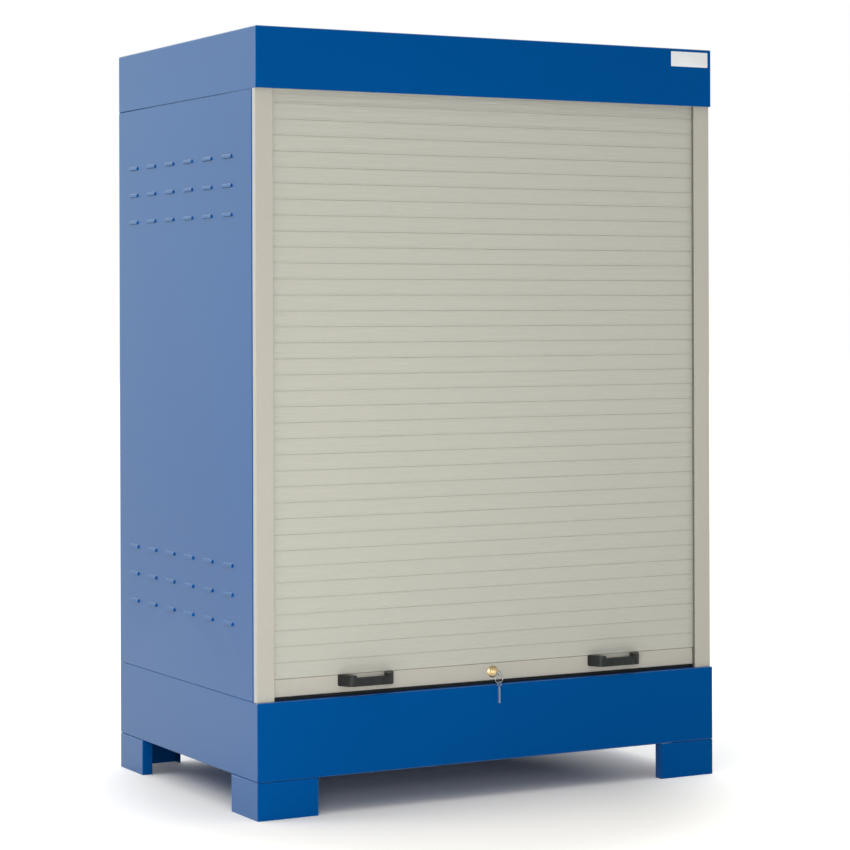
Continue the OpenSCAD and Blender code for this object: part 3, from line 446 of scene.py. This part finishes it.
# A merged copy of a CAD node with its hard edges broken, which stands for that node
def brokenEdgeCopy(node, name, edge):
    solid = bmesh.new()
    solid.from_mesh(nodes[node].data)
    bmesh.ops.remove_doubles(solid, verts=solid.verts, dist=edgeRules["merge"])
    if node.startswith("side_panel"):
        pressLouvres(solid)
    flat = math.radians(edgeRules["flatAngle"])
    bmesh.ops.dissolve_limit(solid, angle_limit=flat, verts=solid.verts, edges=solid.edges)
    if edge:
        limit = math.radians(edgeRules["hardAngle"])
        hard = [e for e in solid.edges if len(e.link_faces) == 2 and e.calc_face_angle(0.0) > limit]
        steps = 3 if edge > edgeRules["wideEdge"] else 2
        bmesh.ops.bevel(
            solid, geom=hard, offset=edge, offset_type="OFFSET", segments=steps,
            profile=0.5, affect="EDGES", clamp_overlap=True,
        )
    splitBigFaces(solid)
    piece = linkPiece(name, meshFrom(solid, name), nodeFinish[node])
    softenShading(piece, edgeRules["smoothAngle"])
    evenNormals(piece)
    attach(piece, nodeBody[node])
    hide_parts(node)


for node, (name, edge) in brokenEdges.items():
    brokenEdgeCopy(node, name, edge)
print("edges broken on", len(brokenEdges), "pieces")


# One row of a repeated piece: a line of points, the piece on each, realized, with its finish
def makeRowTree():
    tree = bpy.data.node_groups.new("rowOfPieces", "GeometryNodeTree")
    kinds = (
        ("Piece", "NodeSocketObject"), ("Count", "NodeSocketInt"), ("Start", "NodeSocketVector"),
        ("Step", "NodeSocketVector"), ("Turn", "NodeSocketVector"), ("Finish", "NodeSocketMaterial"),
    )
    sockets = {}
    for label, kind in kinds:
        sockets[label] = tree.interface.new_socket(label, in_out="INPUT", socket_type=kind).identifier
    tree.interface.new_socket("Geometry", in_out="OUTPUT", socket_type="NodeSocketGeometry")
    given = addNode(tree, "NodeGroupInput")
    out = addNode(tree, "NodeGroupOutput")
    line = addNode(tree, "GeometryNodeMeshLine", mode="OFFSET")
    source = addNode(tree, "GeometryNodeObjectInfo", transform_space="ORIGINAL")
    place = addNode(tree, "GeometryNodeInstanceOnPoints")
    turn = addNode(tree, "FunctionNodeEulerToRotation")
    real = addNode(tree, "GeometryNodeRealizeInstances")
    paint = addNode(tree, "GeometryNodeSetMaterial")
    join = tree.links.new
    join(given.outputs["Count"], line.inputs["Count"])
    join(given.outputs["Start"], line.inputs["Start Location"])
    join(given.outputs["Step"], line.inputs["Offset"])
    join(given.outputs["Piece"], source.inputs["Object"])
    join(given.outputs["Turn"], turn.inputs["Euler"])
    join(line.outputs["Mesh"], place.inputs["Points"])
    join(source.outputs["Geometry"], place.inputs["Instance"])
    join(turn.outputs["Rotation"], place.inputs["Rotation"])
    join(place.outputs["Instances"], real.inputs["Geometry"])
    join(real.outputs["Geometry"], paint.inputs["Geometry"])
    join(given.outputs["Finish"], paint.inputs["Material"])
    join(paint.outputs["Geometry"], out.inputs["Geometry"])
    return tree, sockets


rowTree, rowSockets = makeRowTree()


def rowMesh(part, count, start, step, turn, finish):
    carrier = bpy.data.objects.new("rowCarrier", bpy.data.meshes.new("rowCarrier"))
    scene.collection.objects.link(carrier)
    row = carrier.modifiers.new("row", "NODES")
    row.node_group = rowTree
    values = {"Piece": part, "Count": count, "Start": start, "Step": step, "Turn": turn, "Finish": finish}
    for label, value in values.items():
        row[rowSockets[label]] = value
    carrier.data.update()
    mesh = evaluatedMesh(carrier)
    bpy.data.objects.remove(carrier)
    return mesh


def joinMeshes(name, meshes, finish):
    whole = bmesh.new()
    for mesh in meshes:
        whole.from_mesh(mesh)
    return linkPiece(name, meshFrom(whole, name), finish)


def arcPoints(center, radius, start, end, count):
    turns = [math.radians(start + (end - start) * i / count) for i in range(count + 1)]
    return [(center[0] + radius * math.cos(a), center[1] + radius * math.sin(a)) for a in turns]


def extrudeOutline(points, move):
    solid = bmesh.new()
    end = solid.faces.new([solid.verts.new(point) for point in points])
    grown = bmesh.ops.extrude_face_region(solid, geom=[end])
    moved = [v for v in grown["geom"] if isinstance(v, bmesh.types.BMVert)]
    bmesh.ops.translate(solid, verts=moved, vec=move)
    return solid


# Slat section: depth from the face back, height from the seam up, in millimetres
slat = {
    "pitch": 42.1, "depth": 9.0, "half": 694.0, "crown": 0.25, "faceSteps": 24, "seam": 0.4,
    "edgeRound": 0.5, "edgeSteps": 4, "lipOut": 1.1, "lipTall": 8.0, "flat": 2.2, "bevelAngle": 30,
    "hinge": (4.6, 4.8), "ball": 2.0, "ballDrop": 0.1, "neck": 1.4, "socket": 2.4, "socketStart": -6,
    "hingeSteps": 10, "mouthCut": 0.6, "heelCut": (1.2, 0.7), "smoothAngle": 42,
}


def slatOutline():
    half = slat["pitch"] / 2
    crownRadius = (half ** 2 + slat["crown"] ** 2) / (2 * slat["crown"])
    low, high = slat["seam"] / 2, slat["pitch"] - slat["seam"] / 2
    rounding, depth, flat = slat["edgeRound"], slat["depth"], slat["flat"]
    slope = math.tan(math.radians(slat["bevelAngle"]))
    hingeP, hingeQ = slat["hinge"]
    ballQ = slat["pitch"] + hingeQ - slat["ballDrop"]
    neckHalf = slat["neck"] / 2
    mouthCut, steps = slat["mouthCut"], slat["faceSteps"]

    def face(q):  # a shallow crown that runs out into a lip along the lower edge
        rise = min(max((q - low) / slat["lipTall"], 0.0), 1.0)
        setBack = slat["lipOut"] * rise * rise * (3 - 2 * rise)
        return crownRadius - math.sqrt(crownRadius ** 2 - (q - half) ** 2) + setBack

    lowFace, highFace = face(low + rounding), face(high - rounding)
    lip = hingeP - slat["neck"]
    outline = [(lip, low + mouthCut), (lip - mouthCut, low)]
    outline += arcPoints((lowFace + rounding, low + rounding), rounding, 270, 180, slat["edgeSteps"])
    span = high - low - 2 * rounding
    outline += [(face(q), q) for q in (low + rounding + span * i / steps for i in range(1, steps))]
    outline += arcPoints((highFace + rounding, high - rounding), rounding, 180, 90, slat["edgeSteps"])
    outline += [(flat, high), (hingeP - neckHalf, high - (hingeP - neckHalf - flat) * slope)]
    side = math.degrees(math.asin(neckHalf / slat["ball"]))
    outline += arcPoints((hingeP, ballQ), slat["ball"], 270 - side, side - 90, slat["hingeSteps"])
    outline += [(hingeP + neckHalf, high - (hingeP + neckHalf - flat) * slope)]
    cut = (depth - flat) * slope
    heelP, heelQ = slat["heelCut"]
    outline += [(depth, high - cut), (depth, low + cut), (depth - heelP, low + cut - heelQ)]
    lipTurn = 180 + math.degrees(math.acos(slat["neck"] / slat["socket"]))
    outline += arcPoints((hingeP, hingeQ), slat["socket"], slat["socketStart"], lipTurn, slat["hingeSteps"])
    return outline


# The curtain: upright slats in the rails, then the slats that lean back to the drum
barTop = 0.365
windRadius = 0.046
uprightCount, leaningCount = 37, 2
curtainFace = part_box("bottom_bar")[0].y
slatHinge = (slat["hinge"][0] * mm, slat["hinge"][1] * mm)
slatHalf = slat["half"] * mm
slatPoints = [(-slatHalf, p * mm - slatHinge[0], q * mm - slatHinge[1]) for p, q in slatOutline()]
slatSolid = extrudeOutline(slatPoints, (2 * slatHalf, 0, 0))
bmesh.ops.recalc_face_normals(slatSolid, faces=slatSolid.faces)
splitBigFaces(slatSolid)
slatPart = linkPiece("slatPart", meshFrom(slatSolid, "slatPart"), greyCoat)
hingeLine = Vector((0, curtainFace + slatHinge[0], barTop + slatHinge[1]))
pitch = slat["pitch"] * mm
inlet = hingeLine + Vector((0, 0, uprightCount * pitch))
drumAxis = Vector(next(j["pos_m"] for j in frame["joints"] if j["name"] == "drum_spin"))
toDrum = drumAxis - inlet
lean = math.atan2(toDrum.y, toDrum.z) - math.asin(windRadius / toDrum.length)
leanStep = Vector((0, math.sin(lean), math.cos(lean))) * pitch
upright = rowMesh(slatPart, uprightCount, hingeLine, (0, 0, pitch), (0, 0, 0), greyCoat)
leaning = rowMesh(slatPart, leaningCount, inlet, leanStep, (-lean, 0, 0), greyCoat)
curtain = joinMeshes("shutterCurtain", (upright, leaning), greyCoat)
softenShading(curtain, slat["smoothAngle"])
bpy.data.objects.remove(slatPart)
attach(curtain, "shutter")
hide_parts("curtain_slats")
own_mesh(curtain)
print("curtain wound off:", uprightCount + leaningCount, "slats")


# Lift-out gratings: bearing bars, twisted cross rods let in at the top, and a bar across each end
grating = {
    "bar": 3.0, "barPitch": 33.0, "rodPitch": 66.0, "rod": 5.0, "twistSteps": 4, "stepTurn": 45, "edge": 0.35,
}


def softBlock(name, size, edge):
    solid = bmesh.new()
    bmesh.ops.create_cube(solid, size=1.0, matrix=Matrix.Diagonal((*size, 1.0)))
    bmesh.ops.bevel(solid, geom=solid.edges[:], offset=edge, segments=1, profile=0.5, affect="EDGES")
    return linkPiece(name, meshFrom(solid, name), galvanised)


def twistedRod(name, length, side, steps):
    solid = bmesh.new()
    radius = side / math.sqrt(2)
    rings = []
    for i in range(steps + 1):
        y = length * (i / steps - 0.5)
        corners = [math.radians(grating["stepTurn"] * i) + math.radians(45 + 90 * k) for k in range(4)]
        rings.append([solid.verts.new((radius * math.cos(a), y, radius * math.sin(a))) for a in corners])
    for near, far in zip(rings, rings[1:]):
        for k in range(4):
            solid.faces.new((near[k], near[k - 1], far[k - 1], far[k]))
    solid.faces.new(rings[0])
    solid.faces.new(rings[-1][::-1])
    bmesh.ops.recalc_face_normals(solid, faces=solid.faces)
    return linkPiece(name, meshFrom(solid, name), galvanised)


def buildGrating(node, name):
    low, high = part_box(node)
    size = high - low
    center = (low + high) / 2
    bar, edge, side = grating["bar"] * mm, grating["edge"] * mm, grating["rod"] * mm
    slots = math.floor((size.y - bar) / (grating["barPitch"] * mm))
    cells = math.floor((size.x - bar) / (grating["rodPitch"] * mm))
    barStep = (size.y - bar) / slots
    rodStep = (size.x - bar) / cells
    bearing = softBlock("bearingBar", (size.x - 2 * bar, bar, size.z), edge)
    closing = softBlock("closingBar", (bar, size.y, size.z), edge)
    rod = twistedRod("crossRod", size.y - 2 * edge, side, slots * grating["twistSteps"])
    barStart = (center.x, low.y + bar / 2, center.z)
    closingStart = (low.x + bar / 2, center.y, center.z)
    rodStart = (low.x + bar / 2 + rodStep, center.y, high.z - side / math.sqrt(2))
    unturned = (0, 0, 0)
    rows = (
        rowMesh(bearing, slots + 1, barStart, (0, barStep, 0), unturned, galvanised),
        rowMesh(closing, 2, closingStart, (size.x - bar, 0, 0), unturned, galvanised),
        rowMesh(rod, cells - 1, rodStart, (rodStep, 0, 0), unturned, galvanised),
    )
    piece = joinMeshes(name, rows, galvanised)
    for part in (bearing, closing, rod):
        bpy.data.objects.remove(part)
    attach(piece, nodeBody[node])
    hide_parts(node)
    return slots + 1


for node, name in (("grating_left", "gratingLeft"), ("grating_right", "gratingRight")):
    barCount = buildGrating(node, name)
print("gratings made of", barCount, "bearing bars each")


# Bare plate on the fascia
labelPlate = {
    "left": 0.582, "right": 0.707, "low": 2.0285, "high": 2.071, "thick": 0.0008,
    "corner": 0.002, "cornerSteps": 6, "edgeShare": 0.4, "smoothAngle": 30,
}


def roundedPlate(name, look, y0):
    r, thick = look["corner"], look["thick"]
    x0, x1 = look["left"] + r, look["right"] - r
    z0, z1 = look["low"] + r, look["high"] - r
    outline = []
    for quarter, center in enumerate(((x1, z1), (x0, z1), (x0, z0), (x1, z0))):
        outline += arcPoints(center, r, 90 * quarter, 90 * quarter + 90, look["cornerSteps"])
    solid = extrudeOutline([(x, y0, z) for x, z in outline], (0, -thick, 0))
    front = [e for e in solid.edges if all(v.co.y < y0 - thick / 2 for v in e.verts)]
    edge = thick * look["edgeShare"]
    bmesh.ops.bevel(solid, geom=front, offset=edge, segments=2, profile=0.5, affect="EDGES")
    bmesh.ops.recalc_face_normals(solid, faces=solid.faces)
    return linkPiece(name, meshFrom(solid, name), plateWhite)


plate = roundedPlate("labelPlate", labelPlate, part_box("roof_hood")[0].y)
softenShading(plate, labelPlate["smoothAngle"])
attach(plate, "cabinet")
print("label plate placed")


# Camera, solved from the photograph's straight edges; the image is taken as 850 x 850
photoView = {
    "place": (-3.5592, -6.6030, 1.3245), "tilt": 90, "roll": 0.17, "turn": -28.602,
    "lens": 109.383, "sensor": 36.0, "shiftY": -0.1308,
}
camera = bpy.data.objects.new("photoCamera", bpy.data.cameras.new("photoCamera"))
scene.collection.objects.link(camera)
camera.location = photoView["place"]
camera.rotation_euler = [math.radians(photoView[key]) for key in ("tilt", "roll", "turn")]
camera.data.lens = photoView["lens"]
camera.data.sensor_width = photoView["sensor"]
camera.data.shift_y = photoView["shiftY"]
scene.camera = camera


# Pale floor, white to the camera outside the cabinet's shadow, a little duller and cooler in reflections
floorLook = {
    "half": 40.0, "color": (250, 248, 244), "mirrorColor": (226, 237, 235), "roughness": 0.7, "ior": 1.2,
    "shadeCenter": (-0.22, -0.35, 0.0), "shadeHalf": (0.62, 0.8, 1.0), "fade": (0.9, 1.6), "lift": 0.3,
}
half = floorLook["half"]
floorCorners = [(-half, -half, 0), (half, -half, 0), (half, half, 0), (-half, half, 0)]
floorMesh = bpy.data.meshes.new("paleFloor")
floorMesh.from_pydata(floorCorners, [], [(0, 1, 2, 3)])
floorFinish, floorTree, floorShader = newFinish("paleFloor")
floorShader.inputs["Roughness"].default_value = floorLook["roughness"]
floorShader.inputs["IOR"].default_value = floorLook["ior"]
floorShader.inputs["Emission Color"].default_value = (1, 1, 1, 1)
seen = addNode(floorTree, "ShaderNodeLightPath")
floorColors = [linearColor(*floorLook[key]) for key in ("color", "mirrorColor")]
floorColor = blend(floorTree, "RGBA", seen.outputs["Is Glossy Ray"], *floorColors)
floorTree.links.new(floorColor, floorShader.inputs["Base Color"])
outside = objectCoords(floorTree)
measures = (("SUBTRACT", floorLook["shadeCenter"]), ("DIVIDE", floorLook["shadeHalf"]), ("LENGTH", None))
for operation, value in measures:  # how far a spot is outside the shadow's oval
    measure = addNode(floorTree, "ShaderNodeVectorMath", operation=operation)
    floorTree.links.new(outside, measure.inputs[0])
    if value:
        measure.inputs[1].default_value = value
    outside = measure.outputs["Value" if operation == "LENGTH" else "Vector"]
lift = spreadOut(floorTree, outside, *floorLook["fade"], 0.0, floorLook["lift"])
lift.node.interpolation_type = "SMOOTHSTEP"
glow = combine(floorTree, "MULTIPLY", seen.outputs["Is Camera Ray"], lift)
floorTree.links.new(glow, floorShader.inputs["Emission Strength"])
linkPiece("paleFloor", floorMesh, floorFinish)


# Studio: white to the camera; reflections fade from a cool white behind the cabinet to a dim room in front
studio = {
    "horizon": 0.16, "zenith": 0.76, "heightRange": (0.0, 0.6),
    "dim": 0.25, "bright": 1.0, "mirrorRange": (-0.35, 0.55), "cast": (0.85, 1.0, 0.98, 1.0),
}
world = bpy.data.worlds.new("studio")
scene.world = world
world.use_nodes = True
world.cycles.sampling_method = "NONE"
sky = world.node_tree
backdrop = sky.nodes["Background"]
path = addNode(sky, "ShaderNodeLightPath")
way = addNode(sky, "ShaderNodeSeparateXYZ")
sky.links.new(addNode(sky, "ShaderNodeTexCoord").outputs["Generated"], way.inputs["Vector"])
tint = blend(sky, "RGBA", path.outputs["Is Glossy Ray"], (1, 1, 1, 1), studio["cast"])
sky.links.new(tint, backdrop.inputs["Color"])
mirrored = spreadOut(sky, way.outputs["Y"], *studio["mirrorRange"], studio["dim"], studio["bright"])
height = spreadOut(sky, way.outputs["Z"], *studio["heightRange"], studio["horizon"], studio["zenith"])
indirect = blend(sky, "FLOAT", path.outputs["Is Glossy Ray"], height, mirrored)
direct = combine(sky, "MAXIMUM", path.outputs["Is Camera Ray"], path.outputs["Is Transmission Ray"])
sky.links.new(blend(sky, "FLOAT", direct, indirect, 1.0), backdrop.inputs["Strength"])

# A broad lamp overhead, a soft box at the front left, and a fill for the left side
overheadLamp = {"aim": (0.12, -0.31, -0.96), "strength": 1.05, "spread": 100}
softBox = {"place": (-1.8, -3.2, 0.75), "target": (-0.1, -0.4, 0.7), "power": 31.0, "size": 1.1}
sideFill = {"place": (-3.6, 1.0, 3.0), "target": (-0.7, 0.0, 1.0), "power": 34.0, "size": 1.6}


def addLamp(name, kind, power, aim):
    lamp = bpy.data.objects.new(name, bpy.data.lights.new(name, kind))
    lamp.data.energy = power
    lamp.rotation_euler = Vector(aim).to_track_quat("-Z", "Y").to_euler()
    scene.collection.objects.link(lamp)
    return lamp


overhead = addLamp("overheadLamp", "SUN", overheadLamp["strength"], overheadLamp["aim"])
overhead.data.angle = math.radians(overheadLamp["spread"])
for name, look in (("softBox", softBox), ("sideFill", sideFill)):
    panel = addLamp(name, "AREA", look["power"], Vector(look["target"]) - Vector(look["place"]))
    panel.location = look["place"]
    panel.data.size = look["size"]
scene.view_settings.view_transform = "Standard"
print("camera, floor and light set")
